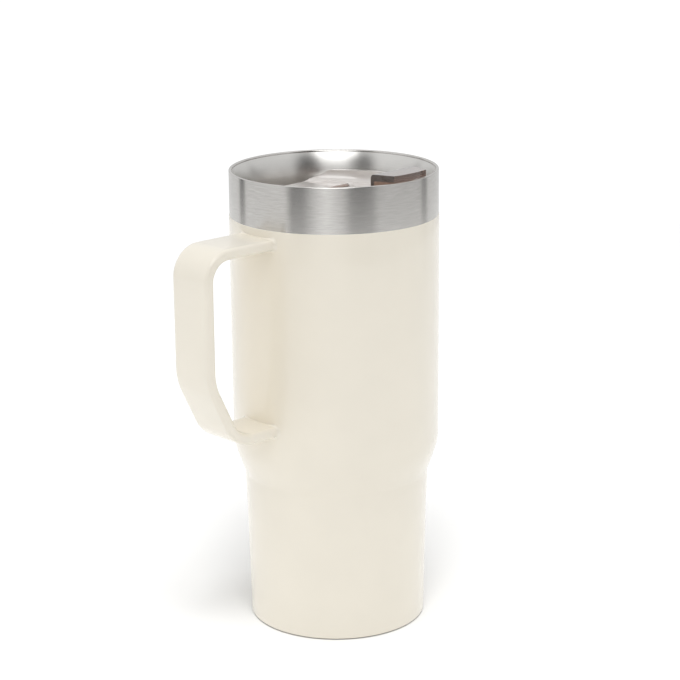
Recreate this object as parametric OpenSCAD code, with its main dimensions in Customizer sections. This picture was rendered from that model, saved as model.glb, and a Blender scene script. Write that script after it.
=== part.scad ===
// Insulated travel mug: a vacuum-walled steel cup with a strap handle,
// and a press-in lid with a flip tab that hooks over the rim.
// The cup's axis is Z, its base rests on z = 0, and the handle lies along -X.

/* [Cup] */
// Height of the steel rim above the surface the cup stands on
rim_height = 198; // [196:0.5:202]
// Outer radius of the coated body above the shoulder
body_radius = 44.4; // [44:0.1:45]
// Outer radius of the coated body at the foot
foot_radius = 38.05; // [37.5:0.05:38.6]
// Height at which the straight upper wall turns into the shoulder
shoulder_top = 78.9; // [76:0.1:82]
// Height of the foot of the shoulder
shoulder_foot = 65.9; // [62:0.1:68]
// Radius of the wall at the foot of the shoulder
shoulder_foot_radius = 39.75; // [39.4:0.05:40]
// Thickness of the outer steel wall with its coating
shell_wall = 0.9; // [0.8:0.05:1]

/* [Mouth] */
// Height of the bare steel band below the rim
band_height = 19.2; // [17:0.2:21]
// How far the bare steel band lies inside the coated surface
band_inset = 0.2; // [0.1:0.05:0.3]
// Inside radius of the liner below its flared mouth
liner_radius = 39.8; // [39.6:0.05:40]
// Height over which the mouth flares out to the rim
flare_height = 10; // [9:0.5:12]
// Thickness of the liner
liner_wall = 0.5; // [0.4:0.05:0.6]

/* [Base] */
// Inside radius of the liner at its floor
liner_floor_radius = 34; // [33.4:0.1:34.4]
// Height of the liner's floor inside the cup
liner_floor = 6; // [5.9:0.1:8]
// Radius of the soft pad that the cup stands on
pad_radius = 34; // [30:0.5:35]

/* [Handle] */
// Distance from the cup's axis to the outside of the grip
handle_reach = 80.1; // [77:0.1:84]
// Height of the middle of the upper arm
handle_top = 173.1; // [170:0.1:174]
// Height at which the grip bends in towards the cup
handle_knee = 120.1; // [117:0.1:124]
// Height of the middle of the lower arm
handle_foot = 93.5; // [91:0.1:96]
// Angle of the lower grip from upright
handle_lean = 26.4; // [24:0.2:29]
// Width of the strap
strap_width = 21.6; // [19:0.2:24]
// Thickness of the strap
strap_thickness = 4.6; // [4:0.1:5.2]
// Radius on the strap's edges
strap_edge = 1.8; // [1:0.1:1.9]

/* [Lid] */
// Outer radius of the lid's skirt
lid_radius = 38.8; // [38.6:0.05:39]
// Thickness of the lid's skirt and wall
lid_wall = 2.4; // [2.2:0.1:2.6]
// Depth of the top of the lid's wall below the rim
wall_drop = 8; // [7:0.5:9]
// Depth of the skirt's lower edge below the rim
skirt_drop = 24; // [23:0.5:28]
// Depth of the deck's back edge below the rim
deck_drop = 12; // [11.5:0.1:12.5]
// Slope of the deck down towards the sip opening
deck_slope = 3; // [2:0.25:3.5]
// Distance from the axis to the deck's straight back edge
deck_back = 31; // [30:0.5:32]
// Turn of the lid about the cup's axis
lid_turn = 3; // [0:0.5:6]

/* [Flip tab] */
// Width of the tab
tab_width = 25; // [22:0.5:26]
// Width of the lip where it ends over the rim
lip_width = 19.6; // [17:0.2:22]
// Radius of the lip's curved end about the cup's axis
lip_radius = 44; // [42:0.1:44.2]
// Height of the lip's top face above the rim
lip_rise = 3; // [2.8:0.1:3.4]
// Thickness of the lip
lip_thickness = 2.7; // [2.2:0.1:2.7]
// Distance of the hinge axis behind the cup's axis
hinge_y = 4.5; // [3:0.5:6]
// Radius of the hinge pin
pin_radius = 1; // [0.8:0.1:1.2]

/* [Hidden] */
$fn = 96;

// Colours
coat = [0.93, 0.90, 0.84];
steel = [0.74, 0.73, 0.71];
smoke = [0.42, 0.33, 0.28, 0.75];
silicone = [0.78, 0.76, 0.72];
foil = [0.86, 0.86, 0.88];

arc_steps = 8;
slack = 1; // how far cutting shapes pass the faces they cut

// Cup
band_foot = rim_height - band_height;
band_radius = body_radius - band_inset;
lip_edge = 42.9; // inside radius of the rim
lip_depth = 0.9; // depth of the rolled rim
foot_lift = 0.3; // the soft pad holds the coated foot this far up
foot_edge = 0.8;
waist = [39.1, 48]; // the lower wall bends slightly here
shoulder_round = 26;
waist_round = 150;
shoulder_fillet = 10;
coat_edge = 0.3;
rim_outer_round = 0.5;
rim_inner_round = 0.75;

// Vacuum space
shoulder_gap = 1.6; // the liner's shoulder lies this far above the outer one
liner_shoulder_top = shoulder_top + shoulder_gap;
liner_shoulder_foot = shoulder_foot + shoulder_gap;
liner_shoulder_radius = 35.4;
liner_floor_round = 10;
cover_bottom = 1;
cover_thickness = 0.6;
pan_bottom = 2.8;
pan_thickness = 0.6;
pan_flange = 3;
foil_thickness = 0.12;
foil_rise = 8;
foil_drop = 26;
getter_x = 14;
getter_radius = 4;
getter_height = 1;
holder_wall = 0.4;
holder_height = 1.2;
seal_hole = 1;
seal_radius = 2.5;
seal_height = 0.7;

// Handle: the strap's middle line runs out from the cup, down and back
grip_x = handle_reach - strap_thickness / 2;
bend_radius = 10.7;
foot_bend_radius = 13;
knee_radius = 22;
root_depth = 3; // the arms start this far inside the coated surface
root_x = body_radius - root_depth;
foot_corner_x = grip_x - (handle_knee - handle_foot) * tan(handle_lean);
edge_steps = 5;
weld_size = 1.2;

// Lid
wall_top = rim_height - wall_drop;
skirt_foot = rim_height - skirt_drop;
deck_edge = rim_height - deck_drop;
deck_thickness = 2.2;
ledge_drop = 7; // the ledge behind the deck lies this far below the deck's edge
ledge_thickness = 2;
riser_thickness = 1.8;
riser_drop = 0.1;
ramp_foot = 0.8; // the wall's ends slope down to this far above the deck's edge
ramp_slope = 37;
notch_half = 16;
notch_y = 20;
sip_y = 22;
sip_half = 3.5;
sip_radius = 3.5;
vent_y = 22;
vent_radius = 1.2;
groove_rise = 3.5;
groove_foot = skirt_foot + groove_rise;
groove_height = 4;
groove_depth = 1.4;

// Gasket: two thin lips stand out of a square ring and turn up towards their tips
fin_reach = 0.7;
fin_sink = 0.2;
fin_foot = 0.4;
fin_pitch = 2;
fin_root = 1.2;
fin_rise = 0.7;
fin_tip = 0.4;

// Flip tab
hinge_rise = 2.3; // height of the hinge axis above the deck
hinge_z = deck_height(hinge_y) + hinge_rise;
barrel_radius = 1.9;
pin_clearance = 0.05;
end_gap = 0.4;
ear_width = 2.4;
pin_length = tab_width + 2 * (end_gap + ear_width);
plate_gap = 1.2; // the plate lies this far above the deck
plate_thickness = 2.2;
leg_outside = 34.4;
leg_thickness = 1.8;
plate_round = 1;
lip_top_round = 1.8;
lip_foot_round = 0.6;
heel_round = 1.5;
seal_gap = 0.3;
seal_top = plate_gap * cos(deck_slope);
pad_overlap = 3;

function unit(v) = v / norm(v);

// Points of the arc of radius r that rounds the corner b between a and c
function corner(a, b, c, r) =
    let (u = unit(a - b), v = unit(c - b))
    let (half = acos(u * v) / 2)
    let (centre = b + unit(u + v) * r / sin(half))
    let (start = b + u * r / tan(half) - centre)
    let (end = b + v * r / tan(half) - centre)
    [for (i = [0:arc_steps]) centre + r * unit(start * (1 - i / arc_steps) + end * i / arc_steps)];

// A path through the corners p, each rounded to the radius in r
function rounded_path(p, r) =
    [for (i = [0:len(p) - 1])
        each (r[i] == 0 ? [p[i]] : corner(p[i - 1], p[i], p[i + 1], r[i]))];

function reversed(p) = [for (i = [len(p) - 1:-1:0]) p[i]];

// The outer wall from foot to band, moved inwards by t
function shell_path(t) =
    rounded_path(
        [[foot_radius - t, foot_lift],
         [waist.x - t, waist.y],
         [shoulder_foot_radius - t, shoulder_foot],
         [body_radius - t, shoulder_top],
         [body_radius - t, band_foot]],
        [0, waist_round, shoulder_fillet, shoulder_round, 0]);

// Inside radius of the outer wall at a height below the waist
function shell_inside(z) =
    foot_radius - shell_wall
    + (waist.x - foot_radius) * (z - foot_lift) / (waist.y - foot_lift);

// The liner from rim to floor, moved outwards by t
function liner_path(t) =
    let (step = lip_edge - liner_radius)
    let (flare = (pow(step, 2) + pow(flare_height, 2)) / (2 * step))
    let (sweep = asin(flare_height / flare))
    let (flare_foot = rim_height - lip_depth - flare_height)
    concat(
        [for (i = [arc_steps:-1:1])
            let (a = sweep * i / arc_steps)
            [liner_radius + t + flare * (1 - cos(a)), flare_foot + flare * sin(a)]],
        rounded_path(
            [[liner_radius + t, flare_foot],
             [liner_radius + t, liner_shoulder_top],
             [liner_shoulder_radius + t, liner_shoulder_foot],
             [liner_floor_radius + t, liner_floor - t],
             [0, liner_floor - t]],
            [0, shoulder_round, shoulder_fillet, liner_floor_round + t, 0]));

// Height of the deck's top face at a distance y behind the cup's axis
function deck_height(y) = deck_edge - (deck_back - y) * tan(deck_slope);

module ring(outer, inner, low, high) {
    translate([0, 0, low])
        difference() {
            cylinder(r = outer, h = high - low);
            translate([0, 0, -slack]) cylinder(r = inner, h = high - low + 2 * slack);
        }
}

module outer_shell() {
    foot = corner([foot_radius - shell_wall, foot_lift], [foot_radius, foot_lift], waist, foot_edge);
    wall = shell_path(0);
    edge = corner([body_radius, shoulder_top], [body_radius, band_foot], [0, band_foot], coat_edge);
    outside = concat(foot, [for (i = [1:len(wall) - 2]) wall[i]], edge);
    color(coat)
        rotate_extrude() polygon(concat(outside, reversed(shell_path(shell_wall))));
}

module rim_collar() {
    inside = lip_edge + liner_wall;
    color(steel)
        rotate_extrude()
            polygon(rounded_path(
                [[inside, band_foot],
                 [band_radius, band_foot],
                 [band_radius, rim_height],
                 [lip_edge, rim_height],
                 [lip_edge, rim_height - lip_depth],
                 [inside, rim_height - lip_depth]],
                [0, 0, rim_outer_round, rim_inner_round, 0, 0]));
}

module inner_liner() {
    color(steel)
        rotate_extrude() polygon(concat(liner_path(0), reversed(liner_path(liner_wall))));
}

module base_pan() {
    top = pan_bottom + pan_thickness;
    rim = pan_bottom + pan_flange;
    color(steel)
        rotate_extrude()
            polygon([[seal_hole, pan_bottom],
                     [shell_inside(pan_bottom), pan_bottom],
                     [shell_inside(rim), rim],
                     [shell_inside(rim) - pan_thickness, rim],
                     [shell_inside(top) - pan_thickness, top],
                     [seal_hole, top]]);
}

module base_cover() {
    top = cover_bottom + cover_thickness;
    color(steel)
        rotate_extrude()
            polygon([[0, cover_bottom],
                     [shell_inside(cover_bottom), cover_bottom],
                     [shell_inside(top), top],
                     [0, top]]);
}

module base_pad() {
    edge = 0.4;
    color(silicone)
        rotate_extrude()
            polygon([[0, 0],
                     [pad_radius - edge, 0],
                     [pad_radius, edge],
                     [pad_radius, cover_bottom],
                     [0, cover_bottom]]);
}

module radiation_foil() {
    inside = liner_radius + liner_wall;
    color(foil)
        ring(inside + foil_thickness, inside, liner_shoulder_top + foil_rise, rim_height - foil_drop);
}

module getter_holder() {
    outer = getter_radius + holder_wall;
    low = pan_bottom + pan_thickness;
    color(steel)
        translate([getter_x, 0, low])
            difference() {
                cylinder(r = outer, h = holder_height);
                translate([0, 0, holder_wall]) cylinder(r = getter_radius, h = holder_height);
            }
}

module getter_pill() {
    color("dimgray")
        translate([getter_x, 0, pan_bottom + pan_thickness + holder_wall])
            cylinder(r = getter_radius, h = getter_height);
}

module vacuum_seal_bead() {
    color("darkseagreen")
        translate([0, 0, pan_bottom]) {
            cylinder(r = seal_hole, h = pan_thickness);
            translate([0, 0, -seal_height])
                cylinder(r1 = seal_hole, r2 = seal_radius, h = seal_height);
        }
}

// Outline of the strap's cross-section, thickness along X and width along Y
function strap_outline() =
    let (x = strap_thickness / 2 - strap_edge, y = strap_width / 2 - strap_edge)
    [for (q = [[1, 1, 0], [-1, 1, 90], [-1, -1, 180], [1, -1, 270]])
        for (i = [0:edge_steps])
            let (a = q[2] + 90 * i / edge_steps)
            [q[0] * x + strap_edge * cos(a), q[1] * y + strap_edge * sin(a)]];

// The strap's middle line in the plane y = 0, from the upper root to the lower one
function strap_path() =
    rounded_path(
        [[-root_x, handle_top],
         [-grip_x, handle_top],
         [-grip_x, handle_knee],
         [-foot_corner_x, handle_foot],
         [-root_x, handle_foot]],
        [0, bend_radius, knee_radius, foot_bend_radius, 0]);

// Direction of a path at its point i
function heading(p, i) =
    let (before = unit(p[max(i, 1)] - p[max(i, 1) - 1]))
    let (after = unit(p[min(i + 1, len(p) - 1)] - p[min(i + 1, len(p) - 1) - 1]))
    unit(before + after);

module strap() {
    path = strap_path();
    outline = strap_outline();
    n = len(outline);
    last = len(path) - 1;
    points = [for (i = [0:last])
                 let (h = heading(path, i))
                 for (q = outline) [path[i].x + q.x * h.y, q.y, path[i].y - q.x * h.x]];
    sides = [for (i = [0:last - 1]) for (j = [0:n - 1])
                [i * n + j, i * n + (j + 1) % n, (i + 1) * n + (j + 1) % n, (i + 1) * n + j]];
    near_end = [for (j = [n - 1:-1:0]) j];
    far_end = [for (j = [0:n - 1]) last * n + j];
    polyhedron(points, concat([near_end], sides, [far_end]));
}

// Straight arm with the strap's section, grown by an amount all round
module arm(z, length, grow) {
    x = strap_thickness / 2 - strap_edge;
    y = strap_width / 2 - strap_edge;
    r = strap_edge + grow;
    translate([-root_x, 0, z])
        rotate([0, -90, 0])
            linear_extrude(height = length) {
                square([2 * x, 2 * (y + r)], center = true);
                square([2 * (x + r), 2 * y], center = true);
                for (i = [-1, 1]) for (j = [-1, 1]) translate([i * x, j * y]) circle(r = r);
            }
}

module body_core() {
    cylinder(r = body_radius, h = rim_height);
}

module handle() {
    color(coat)
        difference() {
            strap();
            body_core();
        }
}

// Weld bead around the strap where an arm at height z meets the cup
module weld(z) {
    length = body_radius - root_x + weld_size;
    color(coat)
        difference() {
            intersection() {
                arm(z, length, weld_size);
                cylinder(r = body_radius + weld_size, h = rim_height);
            }
            arm(z, length + slack, 0);
            body_core();
        }
}

module upper_weld() {
    weld(handle_top);
}

module lower_weld() {
    weld(handle_foot);
}

// The lid's own frame: turned about the cup's axis
module lid_frame() {
    rotate([0, 0, lid_turn]) children();
}

// The deck's own frame: z = 0 is its top face, y is measured from the cup's axis
module deck_frame() {
    translate([0, 0, deck_height(0)]) rotate([deck_slope, 0, 0]) children();
}

module oval(half_length, radius, low, high) {
    translate([0, 0, low]) {
        for (s = [-1, 1]) translate([s * half_length, 0, 0]) cylinder(r = radius, h = high - low);
        translate([-half_length, -radius, 0]) cube([2 * half_length, 2 * radius, high - low]);
    }
}

module hinge_axis_cylinder(radius, length) {
    translate([-length / 2, hinge_y, hinge_z]) rotate([0, 90, 0]) cylinder(r = radius, h = length);
}

module lid_deck() {
    size = 2 * lid_radius;
    intersection() {
        translate([0, 0, skirt_foot]) cylinder(r = lid_radius - lid_wall / 2, h = skirt_drop);
        deck_frame()
            translate([-lid_radius, -lid_radius, -deck_thickness])
                cube([size, size, deck_thickness]);
        translate([-lid_radius, -lid_radius, skirt_foot])
            cube([size, lid_radius + deck_back, skirt_drop]);
    }
}

module lid_ledge() {
    top = deck_edge - ledge_drop;
    reach = lid_radius - lid_wall / 2;
    intersection() {
        translate([0, 0, skirt_foot]) cylinder(r = reach, h = skirt_drop);
        union() {
            translate([-reach, deck_back - riser_thickness, top - ledge_thickness])
                cube([2 * reach, reach, ledge_thickness]);
            translate([-reach, deck_back - riser_thickness, top - ledge_thickness])
                cube([2 * reach, riser_thickness, ledge_drop + ledge_thickness - riser_drop]);
        }
    }
}

module hinge_ear(side) {
    x = tab_width / 2 + end_gap;
    low = deck_height(hinge_y) - deck_thickness / 2;
    translate([side > 0 ? x : -x - ear_width, hinge_y, 0]) {
        translate([0, 0, hinge_z]) rotate([0, 90, 0]) cylinder(r = barrel_radius, h = ear_width);
        translate([0, -barrel_radius, low]) cube([ear_width, 2 * barrel_radius, hinge_z - low]);
    }
}

module lid_body() {
    big = 2 * lid_radius;
    color(smoke)
        lid_frame()
            difference() {
                union() {
                    ring(lid_radius, lid_radius - lid_wall, skirt_foot, wall_top);
                    lid_deck();
                    lid_ledge();
                    hinge_ear(-1);
                    hinge_ear(1);
                }
                // the deck and wall end at the straight back edge
                translate([-big, deck_back, deck_edge - ledge_drop]) cube([2 * big, big, big]);
                // the wall's ends slope down to that edge
                translate([-big, deck_back, deck_edge + ramp_foot])
                    rotate([-ramp_slope, 0, 0])
                        translate([0, -big, 0]) cube([2 * big, 2 * big, big]);
                // the wall is open in front, where the tab leaves and the drink flows
                deck_frame() translate([-notch_half, -big, 0]) cube([2 * notch_half, big - notch_y, big]);
                // sip opening and vent
                deck_frame()
                    translate([0, -sip_y, 0]) oval(sip_half, sip_radius, -2 * deck_thickness, slack);
                translate([0, vent_y, skirt_foot]) cylinder(r = vent_radius, h = skirt_drop);
                // pin bore
                hinge_axis_cylinder(pin_radius, pin_length + 2 * slack);
                // gasket groove
                ring(big, lid_radius - groove_depth, groove_foot, groove_foot + groove_height);
            }
}

module lid_gasket() {
    inner = lid_radius - groove_depth;
    root = lid_radius - fin_sink;
    tip = lid_radius + fin_reach;
    color(silicone)
        rotate_extrude() {
            translate([inner, groove_foot]) square([groove_depth, groove_height]);
            for (i = [0, 1])
                let (z = groove_foot + fin_foot + i * fin_pitch)
                polygon([[root, z],
                         [tip, z + fin_rise],
                         [tip, z + fin_rise + fin_tip],
                         [root, z + fin_root]]);
        }
}

module hinge_pin() {
    color(steel) lid_frame() hinge_axis_cylinder(pin_radius, pin_length);
}

// Side outline of the tab: plate, leg and lip, in the plane across the hinge
function tab_outline() =
    let (inside = leg_outside - leg_thickness)
    let (top = rim_height + lip_rise)
    let (upper = plate_gap + plate_thickness)
    rounded_path(
        [[hinge_y, deck_height(hinge_y) + upper],
         [-inside, deck_height(-inside) + upper],
         [-inside, top],
         [-lip_radius - slack, top],
         [-lip_radius - slack, top - lip_thickness],
         [-leg_outside, top - lip_thickness],
         [-leg_outside, deck_height(-leg_outside) + plate_gap],
         [hinge_y, deck_height(hinge_y) + plate_gap]],
        [0, plate_round, lip_top_round, 0, 0, lip_foot_round, heel_round, 0]);

module tab_plan() {
    low = skirt_foot;
    half = tab_width / 2;
    lip_y = sqrt(pow(lip_radius, 2) - pow(lip_width / 2, 2));
    translate([0, 0, low])
        intersection() {
            cylinder(r = lip_radius, h = 2 * skirt_drop);
            linear_extrude(height = 2 * skirt_drop)
                polygon([[-half, hinge_y], [-half, -leg_outside], [-lip_width / 2, -lip_y],
                         [-lip_width / 2, -2 * lip_radius], [lip_width / 2, -2 * lip_radius],
                         [lip_width / 2, -lip_y], [half, -leg_outside], [half, hinge_y]]);
        }
}

module flip_tab() {
    color(smoke)
        lid_frame()
            difference() {
                union() {
                    intersection() {
                        rotate([90, 0, 90])
                            linear_extrude(height = tab_width, center = true) polygon(tab_outline());
                        tab_plan();
                    }
                    hinge_axis_cylinder(barrel_radius, tab_width);
                }
                hinge_axis_cylinder(pin_radius + pin_clearance, tab_width + 2 * slack);
            }
}

module tab_seal() {
    color(silicone)
        lid_frame() deck_frame() translate([0, -sip_y, 0])
            oval(sip_half, sip_radius + pad_overlap, seal_gap, seal_top);
}

outer_shell();
rim_collar();
inner_liner();
base_pan();
base_cover();
base_pad();
radiation_foil();
getter_pill();
getter_holder();
vacuum_seal_bead();
handle();
upper_weld();
lower_weld();
lid_body();
lid_gasket();
hinge_pin();
flip_tab();
tab_seal();
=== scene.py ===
import math

import bmesh
import bpy
from mathutils import Matrix, Vector


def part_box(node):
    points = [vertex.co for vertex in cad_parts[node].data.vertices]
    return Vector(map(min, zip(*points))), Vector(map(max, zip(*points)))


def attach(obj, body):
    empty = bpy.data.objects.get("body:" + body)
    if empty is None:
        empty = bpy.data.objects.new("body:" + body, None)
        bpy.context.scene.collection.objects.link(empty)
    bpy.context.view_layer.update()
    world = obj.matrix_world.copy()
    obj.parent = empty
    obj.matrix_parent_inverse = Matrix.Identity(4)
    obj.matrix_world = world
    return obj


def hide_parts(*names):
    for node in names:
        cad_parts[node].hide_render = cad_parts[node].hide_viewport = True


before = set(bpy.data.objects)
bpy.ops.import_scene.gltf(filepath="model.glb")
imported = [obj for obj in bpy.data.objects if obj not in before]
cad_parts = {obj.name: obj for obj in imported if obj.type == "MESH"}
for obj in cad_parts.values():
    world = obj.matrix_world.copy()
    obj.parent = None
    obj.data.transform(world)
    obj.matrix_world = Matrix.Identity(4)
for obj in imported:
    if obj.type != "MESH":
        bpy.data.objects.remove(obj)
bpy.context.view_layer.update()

# ---------------------------------------------------------------- dimensions, in millimetres
# Names that end in _Z are heights above the floor, and in _R radii
MM = 0.001


def node_box(name):
    """Lowest and highest corner of a CAD node, in millimetres."""
    low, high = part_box(name)
    return low / MM, high / MM


shell_low, shell_high = node_box("outer_shell")
collar_low, collar_high = node_box("rim_collar")
handle_low, handle_high = node_box("handle")
pad_high = node_box("base_pad")[1]

# Outside of the cup, as the CAD has it
RIM_Z = collar_high.z
BAND_Z = collar_low.z
BODY_R = shell_high.y
BAND_R = collar_high.x
FOOT_Z = shell_low.z

# Outer wall
FOOT_R = 38.05
WAIST = (39.1, 48.0)
SHOULDER_FOOT = (39.75, 65.9)
SHOULDER_TOP_Z = 78.9
SHELL_WALL = 0.9
WAIST_BEND_R = 150
SHOULDER_FOOT_BEND_R = 10
SHOULDER_TOP_BEND_R = 26
FOOT_EDGE = 0.8
COAT_EDGE = 0.25

# Rim and inner wall
LIP_R = 42.9
LIP_DEPTH = 0.9
RIM_OUTER_EDGE = 0.5
RIM_INNER_EDGE = 0.75
LINER_R = 39.8
LINER_WALL = 0.5
FLARE_HEIGHT = 10.0
LINER_SHOULDER_R = 35.4
LINER_FLOOR_R = 34.0
LINER_FLOOR_Z = 6.0
LINER_FLOOR_BEND_R = 10
LINER_SHOULDER_RISE = 1.6

# Handle
STRAP_WIDTH = handle_high.y - handle_low.y
STRAP_THICKNESS = 4.6
STRAP_EDGE = 1.8
HANDLE_TOP_Z = handle_high.z - STRAP_THICKNESS / 2
HANDLE_FOOT_Z = handle_low.z + STRAP_THICKNESS / 2
GRIP_X = -handle_low.x - STRAP_THICKNESS / 2
KNEE_Z = 120.1
LEAN = math.radians(26.4)
BEND_R = 10.7
KNEE_R = 22.0
FOOT_BEND_R = 13.0
ARM_BURY = 2
END_SINK = 0.3
WELD_R = 1.2
WELD_BURY = 0.25

# Base pad
PAD_R = pad_high.x
PAD_TOP_Z = pad_high.z
PAD_EDGE = 0.4
PAD_RING_OUTSIDE = 5.0
PAD_RING_WIDTH = 3.0
PAD_RING_SLANT = 0.6
PAD_RING_DEPTH = 0.25
PAD_RING_EDGE = 0.2

# Lid
LID_TURN = math.radians(3)
LID_R = 38.8
LID_WALL = 2.4
LID_FOOT_Z = RIM_Z - 24
LID_TOP_Z = RIM_Z - 8
DECK_SLOPE = math.radians(3)
DECK_EDGE_Z = RIM_Z - 12
DECK_EDGE_Y = 31.0
DECK_THICKNESS = 2.2
LEDGE_Z = DECK_EDGE_Z - 7
LEDGE_THICKNESS = 2.0
RISER_THICKNESS = 1.8
LEDGE_INSET = 0.2
RAMP_Z = DECK_EDGE_Z + 0.8
RAMP_SLOPE = math.radians(37)
NOTCH_HALF = 16.0
NOTCH_Y = -20.0
SIP_Y = -22.0
SIP_HALF = 3.5
SIP_R = 3.5
VENT_Y = 22.0
VENT_R = 1.2
GROOVE_Z = LID_FOOT_Z + 3.5
GROOVE_TOP_Z = GROOVE_Z + 4.0
GROOVE_DEPTH = 1.4
COVE_R = 3.4
COVE_STEPS = 8
LID_EDGE = 0.3

# Gasket. Its fins start at FIN_FEET above the groove's foot. FIN_TIP holds (distance behind the
# tip, height) points, and FIN_ROOT is where a fin comes back: (distance past the ring, height)
RING_INSET = 0.05
FIN_FEET = (0.4, 2.4)
FIN_REACH = 0.7
FIN_TIP = ((0.12, 0.72), (0, 0.86), (0.1, 1.1))
FIN_ROOT = (0.1, 1.05)

# Flip tab and hinge
TAB_WIDTH = 25.0
LIP_WIDTH = 19.6
LIP_END_R = 44.0
LIP_TOP_Z = RIM_Z + 3
LIP_THICKNESS = 2.7
HINGE_Y = 4.5
HINGE_RISE = 2.3
BARREL_R = 1.9
PIN_R = 1.0
PIN_CLEARANCE = 0.05
EAR_GAP = 0.4
EAR_WIDTH = 2.4
PLATE_GAP = 1.2
PLATE_THICKNESS = 2.2
LEG_OUTSIDE = 34.4
LEG_THICKNESS = 1.8
PLATE_BEND_R = 1
PLATE_BEND_OUTER_R = 1.5
LIP_BEND_R = 0.6
LIP_BEND_OUTER_R = 1.8
SEAL_GAP = 0.3
SEAL_OVERLAP = 3.0
SEAL_CLEARANCE = 0.01
SEAL_EDGE = 0.25
TAB_EDGE = 0.4

# Fineness of the meshes; BIG is further out than any part reaches
BIG = 100.0
LATHE_SEGMENTS = 256
LID_SEGMENTS = 160
ARC_STEPS = 14
WALL_STEPS = 24
BEND_STEPS = 20
FILLET_STEPS = 8
SMALL_STEPS = 6
HALF_TURN_STEPS = 24
LIP_END_STEPS = 24
BARREL_STEPS = 48
VENT_STEPS = 32
LEDGE_STEPS = 60
DECK_STEPS = 120
ON_AXIS = 1e-6
MERGE_DISTANCE = 0.004
BEVEL_SEGMENTS = 3
BEVEL_ANGLE = math.radians(32)
SMOOTH_ANGLE = 35
BAR_SMOOTH_ANGLE = 50
LID_SMOOTH_ANGLE = 40

# How far a solid runs past a face that it cuts or joins
OVERLAP = 1


# ---------------------------------------------------------------- camera
# The place is in metres, the sensor and focal length in millimetres
CAMERA_PLACE = (-0.5780, -0.6134, 0.3558)
CAMERA_HEADING = math.radians(46.565)
CAMERA_PITCH = math.radians(15.457)
CAMERA_ROLL = math.radians(-0.506)
SENSOR_WIDTH = 36
FOCAL_LENGTH = 107.66


def add_camera():
    """Camera at the photograph's viewing angle."""
    forward = Vector((
        math.cos(CAMERA_HEADING) * math.cos(CAMERA_PITCH),
        math.sin(CAMERA_HEADING) * math.cos(CAMERA_PITCH),
        -math.sin(CAMERA_PITCH)))
    right = Vector((math.sin(CAMERA_HEADING), -math.cos(CAMERA_HEADING), 0))
    up = right.cross(forward)
    turned_right = right * math.cos(CAMERA_ROLL) + up * math.sin(CAMERA_ROLL)
    turned_up = up * math.cos(CAMERA_ROLL) - right * math.sin(CAMERA_ROLL)
    axes = Matrix((turned_right, turned_up, -forward)).transposed()
    data = bpy.data.cameras.new("camera")
    data.sensor_width = SENSOR_WIDTH
    data.lens = FOCAL_LENGTH
    data.clip_start = 0.01
    data.clip_end = 50
    camera = bpy.data.objects.new("camera", data)
    bpy.context.scene.collection.objects.link(camera)
    camera.matrix_world = Matrix.Translation(CAMERA_PLACE) @ axes.to_4x4()
    bpy.context.scene.camera = camera


# ---------------------------------------------------------------- outlines
def corner(a, b, c, radius, steps=ARC_STEPS):
    """Points of the arc that rounds corner b between a and c."""
    b = Vector(b)
    u = (Vector(a) - b).normalized()
    v = (Vector(c) - b).normalized()
    half = u.angle(v) / 2
    centre = b + (u + v).normalized() * (radius / math.sin(half))
    start = b + u * (radius / math.tan(half)) - centre
    end = b + v * (radius / math.tan(half)) - centre
    return [centre + start.lerp(end, i / steps).normalized() * radius for i in range(steps + 1)]


def rounded_path(points, radii, steps=ARC_STEPS):
    """A path through points, each rounded to the radius beside it."""
    path = []
    for i, (point, radius) in enumerate(zip(points, radii)):
        if radius:
            path += corner(points[i - 1], point, points[i + 1], radius, steps)
        else:
            path.append(Vector(point))
    return path


# ---------------------------------------------------------------- meshes
def add_object(name, mesh, smooth_angle=SMOOTH_ANGLE):
    """A shaded-smooth object whose edges sharper than the angle, in degrees, stay sharp."""
    mesh.validate()
    for polygon in mesh.polygons:
        polygon.use_smooth = True
    mesh.set_sharp_from_angle(angle=math.radians(smooth_angle))
    obj = bpy.data.objects.new(name, mesh)
    bpy.context.scene.collection.objects.link(obj)
    return obj


def mesh_from(bm, name):
    """Turns a bmesh into a mesh and frees it."""
    bmesh.ops.recalc_face_normals(bm, faces=bm.faces)
    mesh = bpy.data.meshes.new(name)
    bm.to_mesh(mesh)
    bm.free()
    return mesh


def lathe_bm(outline, segments):
    """Turns a closed (radius, height) outline about the Z axis."""
    bm = bmesh.new()
    rings = []
    for radius, height in outline:
        if radius < ON_AXIS:
            rings.append([bm.verts.new((0, 0, height * MM))])
            continue
        ring = []
        for k in range(segments):
            turn = 2 * math.pi * k / segments
            x = radius * MM * math.cos(turn)
            y = radius * MM * math.sin(turn)
            ring.append(bm.verts.new((x, y, height * MM)))
        rings.append(ring)
    for i, a in enumerate(rings):
        b = rings[(i + 1) % len(rings)]
        for k in range(segments):
            j = (k + 1) % segments
            face = [a[k % len(a)], a[j % len(a)], b[j % len(b)], b[k % len(b)]]
            face = list(dict.fromkeys(face))
            if len(face) > 2:
                bm.faces.new(face)
    return bm


def lathe_mesh(name, outline, segments=LATHE_SEGMENTS):
    """The turned outline as a mesh."""
    return mesh_from(lathe_bm(outline, segments), name)


def skin_rings(bm, rings, closed=False):
    """Joins rings of vertices with quads; a closed run joins the last ring to the first."""
    count = len(rings)
    for i in range(count if closed else count - 1):
        a = rings[i]
        b = rings[(i + 1) % count]
        for k in range(len(a)):
            j = (k + 1) % len(a)
            bm.faces.new((a[k], a[j], b[j], b[k]))


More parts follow.
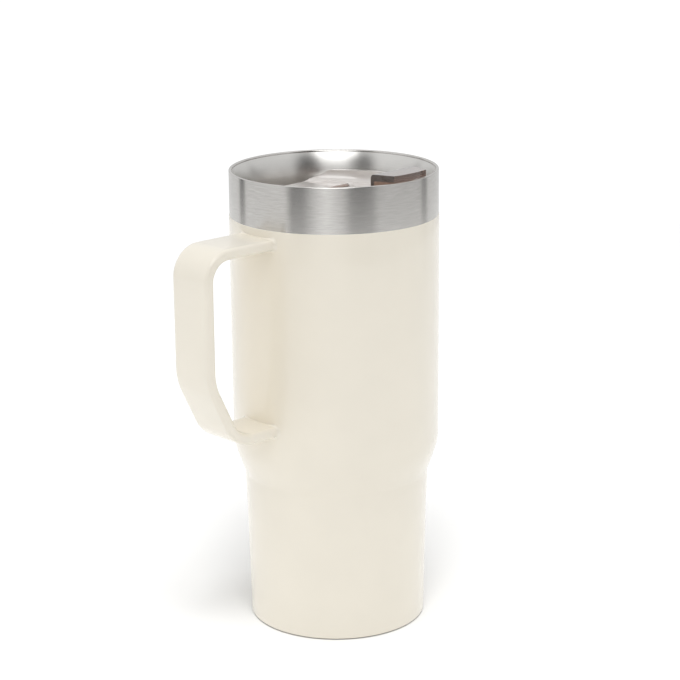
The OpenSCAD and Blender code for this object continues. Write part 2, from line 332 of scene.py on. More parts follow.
# ---------------------------------------------------------------- cup
def shell_wall_path(inset):
    """The stepped outside of the body from foot to band, moved in by inset."""
    return rounded_path(
        [(FOOT_R - inset, FOOT_Z),
         (WAIST[0] - inset, WAIST[1]),
         (SHOULDER_FOOT[0] - inset, SHOULDER_FOOT[1]),
         (BODY_R - inset, SHOULDER_TOP_Z),
         (BODY_R - inset, BAND_Z)],
        [0, WAIST_BEND_R, SHOULDER_FOOT_BEND_R, SHOULDER_TOP_BEND_R, 0], WALL_STEPS)


def make_shell():
    """Coated outer wall, rounded at its foot and at the edge under the band."""
    outside = shell_wall_path(0)
    foot = corner((FOOT_R - SHELL_WALL, FOOT_Z), (FOOT_R, FOOT_Z), WAIST, FOOT_EDGE)
    edge = corner((BODY_R, SHOULDER_TOP_Z), (BODY_R, BAND_Z), (0, BAND_Z), COAT_EDGE)
    inside = list(reversed(shell_wall_path(SHELL_WALL)))
    mesh = lathe_mesh("body_wall", foot + outside[1:-1] + edge + inside)
    return add_object("body_wall", mesh)


def make_collar():
    """Bare steel band with a rounded rim."""
    inside = LIP_R + LINER_WALL
    outline = rounded_path(
        [(inside, BAND_Z), (BAND_R, BAND_Z), (BAND_R, RIM_Z), (LIP_R, RIM_Z),
         (LIP_R, RIM_Z - LIP_DEPTH), (inside, RIM_Z - LIP_DEPTH)],
        [0, 0, RIM_OUTER_EDGE, RIM_INNER_EDGE, 0, 0])
    return add_object("rim_band", lathe_mesh("rim_band", outline))


def liner_path(shift):
    """The inner wall from its flared mouth to the middle of its floor, moved out by shift."""
    step = LIP_R - LINER_R
    flare = (step ** 2 + FLARE_HEIGHT ** 2) / (2 * step)
    sweep = math.asin(FLARE_HEIGHT / flare)
    flare_foot = RIM_Z - LIP_DEPTH - FLARE_HEIGHT
    path = []
    for i in range(ARC_STEPS, 0, -1):
        a = sweep * i / ARC_STEPS
        radius = LINER_R + shift + flare * (1 - math.cos(a))
        path.append(Vector((radius, flare_foot + flare * math.sin(a))))
    path += rounded_path(
        [(LINER_R + shift, flare_foot),
         (LINER_R + shift, SHOULDER_TOP_Z + LINER_SHOULDER_RISE),
         (LINER_SHOULDER_R + shift, SHOULDER_FOOT[1] + LINER_SHOULDER_RISE),
         (LINER_FLOOR_R + shift, LINER_FLOOR_Z - shift),
         (0, LINER_FLOOR_Z - shift)],
        [0, SHOULDER_TOP_BEND_R, SHOULDER_FOOT_BEND_R, LINER_FLOOR_BEND_R + shift, 0], BEND_STEPS)
    return path


def make_liner():
    """Inner wall, open at the mouth."""
    outline = liner_path(0) + list(reversed(liner_path(LINER_WALL)))
    return add_object("liner_wall", lathe_mesh("liner_wall", outline))


# ---------------------------------------------------------------- handle
def strap_path():
    """The strap's middle line in (distance from the axis, height), and the direction at each point."""
    foot_x = GRIP_X - (KNEE_Z - HANDLE_FOOT_Z) * math.tan(LEAN)
    root = BODY_R - ARM_BURY
    path = rounded_path(
        [(root, HANDLE_TOP_Z), (GRIP_X, HANDLE_TOP_Z), (GRIP_X, KNEE_Z),
         (foot_x, HANDLE_FOOT_Z), (root, HANDLE_FOOT_Z)],
        [0, BEND_R, KNEE_R, FOOT_BEND_R, 0], BEND_STEPS)
    headings = []
    for i in range(len(path)):
        here = max(i, 1)
        ahead = min(i + 1, len(path) - 1)
        before = (path[here] - path[here - 1]).normalized()
        after = (path[ahead] - path[ahead - 1]).normalized()
        headings.append((before + after).normalized())
    return path, headings


def strap_section():
    """Outline of the strap across its length: (thickness, width) points, each with its outward normal."""
    x = STRAP_THICKNESS / 2 - STRAP_EDGE
    y = STRAP_WIDTH / 2 - STRAP_EDGE
    section = []
    for sx, sy, start in ((1, 1, 0), (-1, 1, 90), (-1, -1, 180), (1, -1, 270)):
        for i in range(FILLET_STEPS + 1):
            a = math.radians(start + 90 * i / FILLET_STEPS)
            normal = Vector((math.cos(a), math.sin(a)))
            section.append((Vector((sx * x, sy * y)) + normal * STRAP_EDGE, normal))
    return section


def wall_x(y):
    """How far the round body reaches out from the axis at a sideways distance y."""
    return math.sqrt(BODY_R ** 2 - y ** 2)


def make_handle():
    """The strap swept along its path; its ends follow the round body and sink a little into it."""
    path, headings = strap_path()
    ends = (0, len(path) - 1)
    bm = bmesh.new()
    rings = []
    for i, (middle, heading) in enumerate(zip(path, headings)):
        ring = []
        for q, _ in strap_section():
            out = wall_x(q.y) - END_SINK if i in ends else middle.x + q.x * heading.y
            height = middle.y - q.x * heading.x
            ring.append(bm.verts.new((-out * MM, q.y * MM, height * MM)))
        rings.append(ring)
    skin_rings(bm, rings)
    bm.faces.new(rings[0])
    bm.faces.new(rings[-1])
    return add_object("handle_strap", mesh_from(bm, "handle_strap"), BAR_SMOOTH_ANGLE)


def make_weld(name, z):
    """Smooth fillet where an arm of the strap meets the body."""
    stations = [(WELD_R, -WELD_BURY)]
    for i in range(FILLET_STEPS + 1):
        a = math.pi / 2 * i / FILLET_STEPS
        stations.append((WELD_R * (1 - math.sin(a)), WELD_R * (1 - math.cos(a))))
    stations += [(-WELD_BURY, WELD_R), (-WELD_BURY, -WELD_BURY)]
    bm = bmesh.new()
    loops = []
    for q, normal in strap_section():
        loop = []
        for away, height in stations:
            side = q + normal * away
            out = wall_x(side.y) + height
            loop.append(bm.verts.new((-out * MM, side.y * MM, (z + side.x) * MM)))
        loops.append(loop)
    skin_rings(bm, loops, closed=True)
    return add_object(name, mesh_from(bm, name), BAR_SMOOTH_ANGLE)


# ---------------------------------------------------------------- solids for the lid
def circle(radius, x=0.0, y=0.0, start=0, end=360, steps=LID_SEGMENTS):
    """Points of an arc in degrees; a full turn doesn't repeat its first point."""
    count = steps if end - start == 360 else steps + 1
    turns = [math.radians(start + (end - start) * i / steps) for i in range(count)]
    return [(x + radius * math.cos(t), y + radius * math.sin(t)) for t in turns]


def oval(half, radius, y):
    """Two half circles joined by straight sides, with their centres at -half and half."""
    right = circle(radius, half, y, -90, 90, HALF_TURN_STEPS)
    left = circle(radius, -half, y, 90, 270, HALF_TURN_STEPS)
    return right + left


def extrude(outline, low, high, place):
    """A closed prism between two values of the coordinate that place() adds to each outline point."""
    bm = bmesh.new()
    rings = []
    for side in (low, high):
        rings.append([bm.verts.new(Vector(place(u, v, side)) * MM) for u, v in outline])
    skin_rings(bm, rings)
    bm.faces.new(rings[0])
    bm.faces.new(rings[1])
    return bm


def upright(outline, low, high):
    """A prism along Z. Its ends may slope: low and high are numbers or functions of y."""
    def place(x, y, side):
        z = high if side else low
        return x, y, z(y) if callable(z) else z
    return extrude(outline, 0, 1, place)


def across(outline, low, high):
    """A prism along X, from an outline of (y, z) points."""
    return extrude(outline, low, high, lambda y, z, x: (x, y, z))


def temporary(bm):
    """A working object, used up before the piece is finished."""
    obj = bpy.data.objects.new("tool", mesh_from(bm, "tool"))
    bpy.context.scene.collection.objects.link(obj)
    return obj


def apply_modifiers(obj):
    """Makes the modifiers' result the object's own mesh."""
    depsgraph = bpy.context.evaluated_depsgraph_get()
    mesh = bpy.data.meshes.new_from_object(obj.evaluated_get(depsgraph))
    obj.modifiers.clear()
    obj.data = mesh


def combine(base, tools, operation):
    """Cuts or joins solids; the tools are used up."""
    for bm in tools:
        tool = temporary(bm)
        modifier = base.modifiers.new("combine", "BOOLEAN")
        modifier.operation = operation
        modifier.solver = "EXACT"
        modifier.object = tool
        apply_modifiers(base)
        bpy.data.objects.remove(tool)


def soften(base, name, width):
    """Rounds every sharp edge of a solid, turns it with the lid and gives the finished piece."""
    modifier = base.modifiers.new("soften", "BEVEL")
    modifier.width = width * MM
    modifier.segments = BEVEL_SEGMENTS
    modifier.limit_method = "ANGLE"
    modifier.angle_limit = BEVEL_ANGLE
    modifier.miter_outer = "MITER_ARC"
    apply_modifiers(base)
    bm = bmesh.new()
    bm.from_mesh(base.data)
    bmesh.ops.remove_doubles(bm, verts=bm.verts, dist=MERGE_DISTANCE * MM)
    bmesh.ops.rotate(bm, verts=bm.verts, matrix=Matrix.Rotation(LID_TURN, 3, "Z"))
    bpy.data.objects.remove(base)
    piece = add_object(name, mesh_from(bm, name), LID_SMOOTH_ANGLE)
    piece.modifiers.new("flat_faces", "WEIGHTED_NORMAL").keep_sharp = True
    return piece


# ---------------------------------------------------------------- lid and flip tab
def deck_z(y):
    """Height of the deck's top face."""
    return DECK_EDGE_Z - (DECK_EDGE_Y - y) * math.tan(DECK_SLOPE)


def clipped_circle(radius, y):
    """The part of a circle in front of the line at y."""
    edge = math.degrees(math.asin(y / radius))
    return circle(radius, start=180 - edge, end=360 + edge, steps=DECK_STEPS)


def slab(outline, top, thickness):
    """A prism under a sloping top face."""
    return upright(outline, lambda y: top(y) - thickness, top)


HINGE_Z = deck_z(HINGE_Y) + HINGE_RISE


def barrel(radius, low, high):
    """A round bar along the hinge's axis."""
    return across(circle(radius, HINGE_Y, HINGE_Z, steps=BARREL_STEPS), low, high)


def cove():
    """Ring that rounds the corner between the sloping deck and the inside of the lid's wall."""
    inner = LID_R - LID_WALL
    arc = []
    for i in range(COVE_STEPS + 1):
        a = math.pi / 2 * i / COVE_STEPS
        arc.append((inner - COVE_R * (1 - math.cos(a)), COVE_R * (1 - math.sin(a))))
    outside = inner + OVERLAP
    outline = [(outside, -OVERLAP), (outside, COVE_R)] + arc + [(inner - COVE_R, -OVERLAP)]
    ring = lathe_bm(outline, LID_SEGMENTS)
    for v in ring.verts:
        v.co.z += deck_z(v.co.y / MM) * MM
    return ring


def ear(side):
    """Upright lug beside the tab that holds one end of the hinge pin."""
    near = TAB_WIDTH / 2 + EAR_GAP
    foot = deck_z(HINGE_Y) - DECK_THICKNESS / 2
    outline = circle(BARREL_R, HINGE_Y, HINGE_Z, 0, 180, HALF_TURN_STEPS)
    outline += [(HINGE_Y - BARREL_R, foot), (HINGE_Y + BARREL_R, foot)]
    low, high = sorted((side * near, side * (near + EAR_WIDTH)))
    return across(outline, low, high)


def make_lid_body():
    """Skirt and wall, then the sloping deck, the lower ledge behind it and the holes through it."""
    inner = LID_R - LID_WALL
    groove = LID_R - GROOVE_DEPTH
    wall = temporary(lathe_bm(
        [(inner, LID_FOOT_Z), (LID_R, LID_FOOT_Z), (LID_R, GROOVE_Z), (groove, GROOVE_Z),
         (groove, GROOVE_TOP_Z), (LID_R, GROOVE_TOP_Z), (LID_R, LID_TOP_Z), (inner, LID_TOP_Z)],
        LID_SEGMENTS))
    combine(wall, [cove()], "UNION")
    rise = (DECK_EDGE_Y + BIG) * math.tan(RAMP_SLOPE)
    back_cut = across(
        [(DECK_EDGE_Y, LEDGE_Z), (BIG, LEDGE_Z), (BIG, 3 * BIG), (-BIG, 3 * BIG),
         (-BIG, RAMP_Z + rise), (DECK_EDGE_Y, RAMP_Z)], -BIG, BIG)
    notch = [(-NOTCH_HALF, -BIG), (NOTCH_HALF, -BIG), (NOTCH_HALF, NOTCH_Y), (-NOTCH_HALF, NOTCH_Y)]
    combine(wall, [back_cut, upright(notch, deck_z, 3 * BIG)], "DIFFERENCE")
    reach = LID_R - LID_WALL / 2
    back = DECK_EDGE_Y - RISER_THICKNESS
    edge = math.degrees(math.asin(back / reach))
    half = reach * math.cos(math.radians(edge)) - LEDGE_INSET
    ledge = circle(reach, start=edge, end=180 - edge, steps=LEDGE_STEPS)
    riser = [(-half, back), (half, back), (half, DECK_EDGE_Y), (-half, DECK_EDGE_Y)]
    combine(wall, [
        slab(clipped_circle(reach, DECK_EDGE_Y), deck_z, DECK_THICKNESS),
        upright(ledge, LEDGE_Z - LEDGE_THICKNESS, LEDGE_Z),
        upright(riser, LEDGE_Z - LEDGE_THICKNESS, DECK_EDGE_Z - OVERLAP),
        ear(-1),
        ear(1),
    ], "UNION")
    pin_end = TAB_WIDTH / 2 + EAR_GAP + EAR_WIDTH + OVERLAP
    combine(wall, [
        upright(oval(SIP_HALF, SIP_R, SIP_Y), LID_FOOT_Z, LID_TOP_Z),
        upright(circle(VENT_R, 0, VENT_Y, steps=VENT_STEPS), LID_FOOT_Z, LID_TOP_Z),
        barrel(PIN_R, -pin_end, pin_end),
    ], "DIFFERENCE")
    return soften(wall, "lid_shell", LID_EDGE)


def make_gasket():
    """Ring that fills the skirt's groove, with two fins that press on the inner wall."""
    inner = LID_R - GROOVE_DEPTH
    root = LID_R - RING_INSET
    tip = LID_R + FIN_REACH
    outline = [(inner, GROOVE_Z), (root, GROOVE_Z)]
    for rise in FIN_FEET:
        foot = GROOVE_Z + rise
        outline.append((root, foot))
        outline += [(tip - back, foot + height) for back, height in FIN_TIP]
        outline.append((root + FIN_ROOT[0], foot + FIN_ROOT[1]))
    outline += [(root, GROOVE_TOP_Z), (inner, GROOVE_TOP_Z)]
    return add_object("lid_seal_ring", lathe_mesh("lid_seal_ring", outline, LID_SEGMENTS))


def tab_side_outline():
    """The tab from the side: plate over the deck, leg up the inside of the rim, lip over it."""
    inside = LEG_OUTSIDE - LEG_THICKNESS
    upper = PLATE_GAP + PLATE_THICKNESS
    end = -LIP_END_R - OVERLAP
    return rounded_path(
        [(HINGE_Y, deck_z(HINGE_Y) + upper),
         (-inside, deck_z(-inside) + upper),
         (-inside, LIP_TOP_Z),
         (end, LIP_TOP_Z),
         (end, LIP_TOP_Z - LIP_THICKNESS),
         (-LEG_OUTSIDE, LIP_TOP_Z - LIP_THICKNESS),
         (-LEG_OUTSIDE, deck_z(-LEG_OUTSIDE) + PLATE_GAP),
         (HINGE_Y, deck_z(HINGE_Y) + PLATE_GAP)],
        [0, PLATE_BEND_R, LIP_BEND_OUTER_R, 0, 0, LIP_BEND_R, PLATE_BEND_OUTER_R, 0], FILLET_STEPS)


def tab_plan_outline():
    """The tab from above: straight sides, a narrowing lip and a curved end."""
    half = TAB_WIDTH / 2
    spread = math.degrees(math.asin(LIP_WIDTH / 2 / LIP_END_R))
    end = circle(LIP_END_R, start=270 - spread, end=270 + spread, steps=LIP_END_STEPS)
    left = [(-half, HINGE_Y), (-half, -LEG_OUTSIDE)]
    right = [(half, -LEG_OUTSIDE), (half, HINGE_Y)]
    return left + end + right


def make_flip_tab():
    """Bent plate cut to its plan, with a barrel for the hinge pin."""
    half = TAB_WIDTH / 2
    tab = temporary(across(tab_side_outline(), -half, half))
    combine(tab, [upright(tab_plan_outline(), LID_FOOT_Z, LIP_TOP_Z + OVERLAP)], "INTERSECT")
    combine(tab, [barrel(BARREL_R, -half, half)], "UNION")
    combine(tab, [barrel(PIN_R + PIN_CLEARANCE, -half - OVERLAP, half + OVERLAP)], "DIFFERENCE")
    return soften(tab, "drink_tab", TAB_EDGE)


def make_tab_seal():
    """Pad under the tab's plate that closes the sip opening."""
    outline = oval(SIP_HALF, SIP_R + SEAL_OVERLAP, SIP_Y)
    pad = temporary(upright(
        outline,
        lambda y: deck_z(y) + SEAL_GAP,
        lambda y: deck_z(y) + PLATE_GAP - SEAL_CLEARANCE))
    return soften(pad, "drink_tab_seal", SEAL_EDGE)


def make_base_pad():
    """Soft disc under the foot, with a shallow ring pressed into it."""
    outside = PAD_R - PAD_RING_OUTSIDE
    inside = outside - PAD_RING_WIDTH
    outline = rounded_path(
        [(0, PAD_TOP_Z), (PAD_R, PAD_TOP_Z), (PAD_R, 0),
         (outside, 0), (outside - PAD_RING_SLANT, PAD_RING_DEPTH),
         (inside + PAD_RING_SLANT, PAD_RING_DEPTH), (inside, 0), (0, 0)],
        [0, 0, PAD_EDGE] + [PAD_RING_EDGE] * 4 + [0], SMALL_STEPS)
    return add_object("foot_pad", lathe_mesh("foot_pad", outline))


# ---------------------------------------------------------------- materials
NOISE_LOW = 0.3
NOISE_HIGH = 0.7
CREAM = (0.885, 0.832, 0.722)
SMOKE_DEPTH_COLOUR = (0.60, 0.45, 0.37, 1)


def tint(colour, factor):
    """A colour made lighter or darker."""
    return tuple(c * factor for c in colour)


class Nodes:
    """A short way to write a material's node tree."""

    def __init__(self, name):
        self.material = bpy.data.materials.new(name)
        self.material.use_nodes = True
        self.tree = self.material.node_tree
        self.shader = self.tree.nodes["Principled BSDF"]

    def add(self, kind, **settings):
        node = self.tree.nodes.new(kind)
        for key, value in settings.items():
            setattr(node, key, value)
        return node

    def link(self, source, target):
        self.tree.links.new(source, target)

    def set(self, **values):
        for key, value in values.items():
            self.shader.inputs[key.replace("_", " ")].default_value = value

    def position(self):
        return self.add("ShaderNodeTexCoord").outputs["Object"]

    def noise(self, vector, scale, detail, roughness=0.5):
        node = self.add("ShaderNodeTexNoise")
        self.link(vector, node.inputs["Vector"])
        node.inputs["Scale"].default_value = scale
        node.inputs["Detail"].default_value = detail
        node.inputs["Roughness"].default_value = roughness
        return node.outputs["Fac"]

    def remap(self, value, low, high, to_low, to_high):
        node = self.add("ShaderNodeMapRange")
        self.link(value, node.inputs["Value"])
        node.inputs["From Min"].default_value = low
        node.inputs["From Max"].default_value = high
        node.inputs["To Min"].default_value = to_low
        node.inputs["To Max"].default_value = to_high
        return node.outputs["Result"]

    def blend(self, value, stops):
        node = self.add("ShaderNodeValToRGB")
        self.link(value, node.inputs["Fac"])
        ramp = node.color_ramp
        while len(ramp.elements) < len(stops):
            ramp.elements.new(1)
        for element, (place, colour) in zip(ramp.elements, stops):
            element.position = place
            element.color = (*colour, 1)
        return node.outputs["Color"]

    def colour(self, value, colour, low, high=1.0):
        """Base colour that varies with a noise value between two brightnesses of one colour."""
        stops = [(NOISE_LOW, tint(colour, low)), (NOISE_HIGH, tint(colour, high))]
        self.link(self.blend(value, stops), self.shader.inputs["Base Color"])

    def gloss(self, value, low, high):
        """Roughness that varies with a noise value."""
        roughness = self.remap(value, NOISE_LOW, NOISE_HIGH, low, high)
        self.link(roughness, self.shader.inputs["Roughness"])

    def bump(self, height, distance, strength):
        """Relief; the distance is in metres."""
        node = self.add("ShaderNodeBump")
        self.link(height, node.inputs["Height"])
        node.inputs["Distance"].default_value = distance
        node.inputs["Strength"].default_value = strength
        self.link(node.outputs["Normal"], self.shader.inputs["Normal"])

    def round_the_axis(self, around, along):
        """Coordinates that run round the Z axis and up it, stretched by the given factors."""
        split = self.add("ShaderNodeSeparateXYZ")
        self.link(self.position(), split.inputs["Vector"])
        angle = self.add("ShaderNodeMath", operation="ARCTAN2")
        self.link(split.outputs["Y"], angle.inputs[0])
        self.link(split.outputs["X"], angle.inputs[1])
        radius = self.add("ShaderNodeVectorMath", operation="LENGTH")
        flat = self.add("ShaderNodeCombineXYZ")
        self.link(split.outputs["X"], flat.inputs["X"])
        self.link(split.outputs["Y"], flat.inputs["Y"])
        self.link(flat.outputs["Vector"], radius.inputs["Vector"])
        out = self.add("ShaderNodeCombineXYZ")
        for source, target, factor in (
            (angle.outputs["Value"], "X", around),
            (split.outputs["Z"], "Y", along),
            (radius.outputs["Value"], "Z", along),
        ):
            scaled = self.add("ShaderNodeMath", operation="MULTIPLY")
            self.link(source, scaled.inputs[0])
            scaled.inputs[1].default_value = factor
            self.link(scaled.outputs["Value"], out.inputs[target])
        return out.outputs["Vector"]


def coat_material():
    """Smooth, softly glossy cream coat."""
    n = Nodes("cream_coat")
    cloud = n.noise(n.position(), scale=40, detail=2)
    n.colour(cloud, CREAM, low=0.985, high=1.01)
    grain = n.noise(n.position(), scale=900, detail=2)
    n.bump(grain, distance=0.000002, strength=0.1)
    n.set(Roughness=0.27, IOR=1.45, Coat_Weight=0.6, Coat_Roughness=0.03)
    return n.material


def steel_material(name, colour, roughness, streaks, relief):
    """Bare steel brushed round the axis: fine long streaks, and highlights drawn out across them."""
    n = Nodes(name)
    fine = n.noise(n.round_the_axis(around=6, along=2600), scale=1, detail=4, roughness=0.8)
    n.colour(fine, colour, low=1 - streaks)
    n.bump(fine, distance=0.000003, strength=relief)
    n.set(Metallic=1.0, Roughness=roughness, Anisotropic=0.85, Anisotropic_Rotation=0.25)
    tangent = n.add("ShaderNodeTangent", direction_type="RADIAL", axis="Z")
    n.link(tangent.outputs["Tangent"], n.shader.inputs["Tangent"])
    return n.material


def smoke_material(name, colour, density, clearness):
    """Smoke-brown moulded plastic, darker where light runs a long way through it."""
    n = Nodes(name)
    flow = n.noise(n.position(), scale=120, detail=2)
    n.colour(flow, colour, low=0.97)
    n.set(Roughness=0.06, IOR=1.54, Transmission_Weight=clearness)
    n.set(Coat_Weight=1.0, Coat_Roughness=0.04, Coat_IOR=1.65)
    volume = n.add("ShaderNodeVolumeAbsorption")
    volume.inputs["Color"].default_value = SMOKE_DEPTH_COLOUR
    volume.inputs["Density"].default_value = density
    output = n.tree.nodes["Material Output"]
    n.link(volume.outputs["Volume"], output.inputs["Volume"])
    return n.material


def rubber_material(name, colour):
    """Matt moulded silicone with a fine grain."""
    n = Nodes(name)
    grain = n.noise(n.position(), scale=1500, detail=3)
    n.colour(grain, colour, low=0.95)
    n.gloss(grain, low=0.5, high=0.62)
    n.bump(grain, distance=0.00001, strength=0.4)
    n.set(IOR=1.42)
    return n.material


def inner_material(name, colour, metallic, roughness, scale):
    """Grained surface for the small and hidden pieces."""
    n = Nodes(name)
    grain = n.noise(n.position(), scale, detail=4)
    n.colour(grain, colour, low=0.88)
    n.gloss(grain, low=roughness, high=roughness + 0.12)
    n.bump(grain, distance=0.00001, strength=0.5)
    n.set(Metallic=metallic)
    return n.material


def dress(obj, material):
    """Gives an object one material."""
    obj.data.materials.clear()
    obj.data.materials.append(material)


# ---------------------------------------------------------------- studio
# Places and sizes in the studio are in metres
FLOOR_RADIUS = 0.85
FLOOR_SEGMENTS = 128
FLOOR_DROP = 0.02 * MM
PAPER = (0.78, 0.78, 0.776, 1)
FRONT_BEARING = math.radians(-133.45)
KEY_PLACE = (-0.607, -0.566, 1.5)
KEY_TARGET = (0, 0, 0.1)
KEY_POWER = 7.3
KEY_SIZE = 1.15
FLOOR_LIGHT_BEARING = FRONT_BEARING + math.radians(3)
FLOOR_LIGHT_ELEVATION = math.radians(64)
FLOOR_LIGHT_STRENGTH = 1.35
FLOOR_LIGHT_SPREAD = math.radians(20)
WORLD_STRENGTH = 1.06


def add_floor():
    """Round sheet of pale paper, a hair below the foot so that the two don't share a plane."""
    bm = bmesh.new()
    bmesh.ops.create_circle(bm, cap_ends=True, radius=FLOOR_RADIUS, segments=FLOOR_SEGMENTS)
    floor = add_object("studio_floor", mesh_from(bm, "studio_floor"))
    floor.location.z = -FLOOR_DROP
    n = Nodes("studio_paper")
    n.set(Base_Color=PAPER, Roughness=0.9, Specular_IOR_Level=0.0)
    dress(floor, n.material)
    return floor


def add_light(name, kind, place, target, energy):
    """A light at a place, turned to face its target."""
    data = bpy.data.lights.new(name, kind)
    data.energy = energy
    light = bpy.data.objects.new(name, data)
    bpy.context.scene.collection.objects.link(light)
    light.location = place
    light.rotation_mode = "QUATERNION"
    light.rotation_quaternion = (Vector(target) - Vector(place)).to_track_quat("-Z", "Y")
    return light


def add_key_light():
    """Large round softbox above the camera."""
    light = add_light("key", "AREA", KEY_PLACE, KEY_TARGET, KEY_POWER)
    light.data.shape = "DISK"
    light.data.size = KEY_SIZE


def lit_only(light, *objects):
    """Keeps a light to the given objects; everything still shades it."""
    receivers = bpy.data.collections.new(light.name + "_receivers")
    for obj in objects:
        receivers.objects.link(obj)
    light.light_linking.receiver_collection = receivers


def add_floor_light(floor):
    """Soft light from above the camera that lights the paper alone; the cup shades it."""
    place = (
        math.cos(FLOOR_LIGHT_BEARING),
        math.sin(FLOOR_LIGHT_BEARING),
        math.tan(FLOOR_LIGHT_ELEVATION))
    light = add_light("floor_front", "SUN", place, (0, 0, 0), FLOOR_LIGHT_STRENGTH)
    light.data.angle = FLOOR_LIGHT_SPREAD
    lit_only(light, floor)


# Brightness of the studio by bearing, in degrees anticlockwise from the front of the set:
# first level with the cup and below it, then above it; straight overhead it's one brightness
LOWER = [(-180, 0.7), (-126, 0.76), (-122, 0.12), (-115, 0.12), (-111, 0.72), (-54, 0.72), (-46, 0.04),
         (-34, 0.05), (-19, 0.68), (-8, 0.96), (1, 0.74), (9, 0.52), (19, 0.04), (30, 0.02), (41, 0.1),
         (50, 0.48), (108, 0.52), (112, 0.2), (119, 0.2), (124, 0.68), (180, 0.7)]
UPPER = [(-180, 0.75), (-125, 0.85), (-60, 0.9), (-44, 0.12), (-26, 0.12), (-14, 0.8), (14, 0.8),
         (24, 0.08), (42, 0.1), (56, 0.78), (120, 0.8), (180, 0.75)]
# Sines of the elevations between which one of them gives way to the next
LOWER_TOP = 0.08
UPPER_FOOT = 0.4
UPPER_TOP = 0.68
CEILING_FOOT = 0.9
CEILING = (1.0, 1.0, 1.0, 1)
BACKDROP = (1.0, 1.0, 1.0, 1)


def bearing_ramp(tree, place, levels):
    """Brightness from a table of (degrees, level), where place runs from 0 to 1 round the set."""
    ramp = tree.nodes.new("ShaderNodeValToRGB")
    tree.links.new(place, ramp.inputs["Fac"])
    elements = ramp.color_ramp.elements
    while len(elements) < len(levels):
        elements.new(1)
    for element, (degrees, level) in zip(elements, levels):
        element.position = degrees / 360 + 0.5
        element.color = (level, level, level, 1)
    return ramp.outputs["Color"]


def rising(tree, z, low, high):
    """0 below low, 1 above high, smooth between them."""
    step = tree.nodes.new("ShaderNodeMapRange")
    step.interpolation_type = "SMOOTHSTEP"
    tree.links.new(z, step.inputs["Value"])
    step.inputs["From Min"].default_value = low
    step.inputs["From Max"].default_value = high
    return step.outputs["Result"]


def add_world():
    """A white studio: plain white to the camera, soft bright and dark panels to all other light."""
    world = bpy.data.worlds.new("studio")
    bpy.context.scene.world = world
    world.use_nodes = True
    tree = world.node_tree
    add = tree.nodes.new
    link = tree.links.new
    turned = add("ShaderNodeVectorRotate")
    turned.rotation_type = "Z_AXIS"
    turned.inputs["Angle"].default_value = -FRONT_BEARING
    link(add("ShaderNodeTexCoord").outputs["Generated"], turned.inputs["Vector"])
    split = add("ShaderNodeSeparateXYZ")
    link(turned.outputs["Vector"], split.inputs["Vector"])
    bearing = add("ShaderNodeMath")
    bearing.operation = "ARCTAN2"
    link(split.outputs["Y"], bearing.inputs[0])
    link(split.outputs["X"], bearing.inputs[1])
    place = add("ShaderNodeMapRange")
    link(bearing.outputs["Value"], place.inputs["Value"])
    place.inputs["From Min"].default_value = -math.pi
    place.inputs["From Max"].default_value = math.pi
    walls = add("ShaderNodeMix")
    studio = add("ShaderNodeMix")
    seen = add("ShaderNodeMix")
    for mix in (walls, studio, seen):
        mix.data_type = "RGBA"
    link(rising(tree, split.outputs["Z"], LOWER_TOP, UPPER_FOOT), walls.inputs["Factor"])
    link(bearing_ramp(tree, place.outputs["Result"], LOWER), walls.inputs["A"])
    link(bearing_ramp(tree, place.outputs["Result"], UPPER), walls.inputs["B"])
    link(rising(tree, split.outputs["Z"], UPPER_TOP, CEILING_FOOT), studio.inputs["Factor"])
    link(walls.outputs["Result"], studio.inputs["A"])
    studio.inputs["B"].default_value = CEILING
    link(add("ShaderNodeLightPath").outputs["Is Camera Ray"], seen.inputs["Factor"])
    link(studio.outputs["Result"], seen.inputs["A"])
    seen.inputs["B"].default_value = BACKDROP
    background = tree.nodes["Background"]
    link(seen.outputs["Result"], background.inputs["Color"])
    background.inputs["Strength"].default_value = WORLD_STRENGTH


def set_colours():
    """Shows colours as they are, with no film look."""
    bpy.context.scene.view_settings.view_transform = "Standard"


# ---------------------------------------------------------------- scene
add_camera()
add_world()
set_colours()
floor = add_floor()
add_floor_light(floor)
add_key_light()

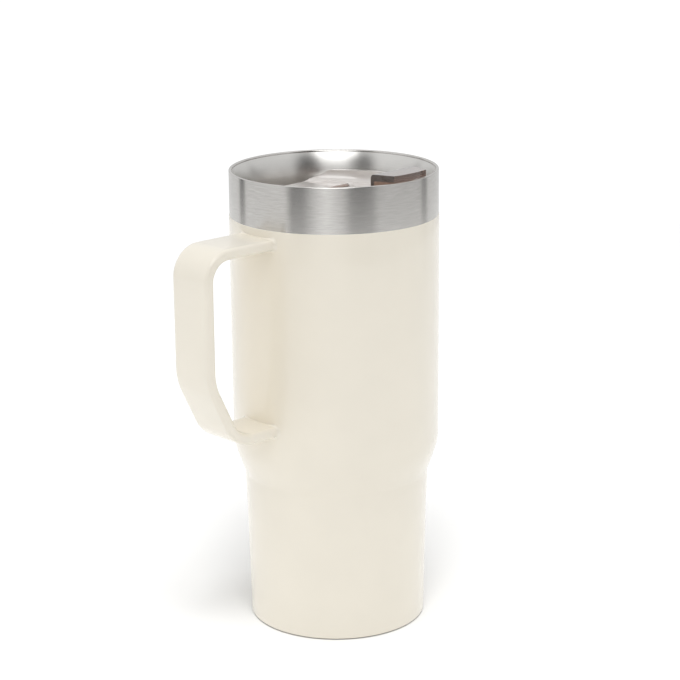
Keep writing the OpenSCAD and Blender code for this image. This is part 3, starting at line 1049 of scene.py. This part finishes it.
coat = coat_material()
band_steel = steel_material(
    "band_steel", (0.67, 0.655, 0.632), roughness=0.2, streaks=0.22, relief=0.4)
liner_steel = steel_material(
    "liner_steel", (0.70, 0.69, 0.67), roughness=0.29, streaks=0.05, relief=0.004)
# The lid's pale tint is partly the smoke plastic's own thin-walled colour and partly painted brightness.
# It is raised to stand in for the light reflected in the lid and seen through it.
lid_smoke_painted_bright = smoke_material("smoke_lid_painted_bright", (0.93, 0.88, 0.84), density=16, clearness=0.3)
tab_smoke = smoke_material("smoke_tab", (0.6, 0.46, 0.38), density=340, clearness=0.88)
silicone = rubber_material("silicone", (0.72, 0.66, 0.58))
plain_steel = inner_material(
    "plain_steel", (0.6, 0.59, 0.58), metallic=1.0, roughness=0.3, scale=600)
foil = inner_material("foil", (0.8, 0.8, 0.82), metallic=1.0, roughness=0.15, scale=250)
getter = inner_material("getter", (0.12, 0.12, 0.13), metallic=0.6, roughness=0.6, scale=2500)
bead = inner_material("seal_glass", (0.4, 0.5, 0.42), metallic=0.0, roughness=0.1, scale=300)

for obj, body, node, material, slot in (
    (make_shell(), "cup", "outer_shell", coat, "coated_steel"),
    (make_collar(), "cup", "rim_collar", band_steel, "brushed_steel"),
    (make_liner(), "cup", "inner_liner", liner_steel, "satin_steel"),
    (make_handle(), "cup", "handle", coat, "coated_steel"),
    (make_weld("upper_fillet", HANDLE_TOP_Z), "cup", "upper_weld", coat, "coated_steel"),
    (make_weld("lower_fillet", HANDLE_FOOT_Z), "cup", "lower_weld", coat, "coated_steel"),
    (make_base_pad(), "cup", "base_pad", silicone, "silicone"),
    (make_lid_body(), "lid", "lid_body", lid_smoke_painted_bright, "smoke_plastic"),
    (make_gasket(), "lid", "lid_gasket", silicone, "silicone"),
    (make_flip_tab(), "tab", "flip_tab", tab_smoke, "smoke_plastic"),
    (make_tab_seal(), "tab", "tab_seal", silicone, "silicone"),
):
    dress(obj, material)
    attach(obj, body)
    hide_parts(node)

for node, material in (
    ("base_pan", plain_steel),
    ("base_cover", plain_steel),
    ("radiation_foil", foil),
    ("getter_pill", getter),
    ("getter_holder", plain_steel),
    ("vacuum_seal_bead", bead),
    ("hinge_pin", plain_steel),
):
    dress(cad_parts[node], material)
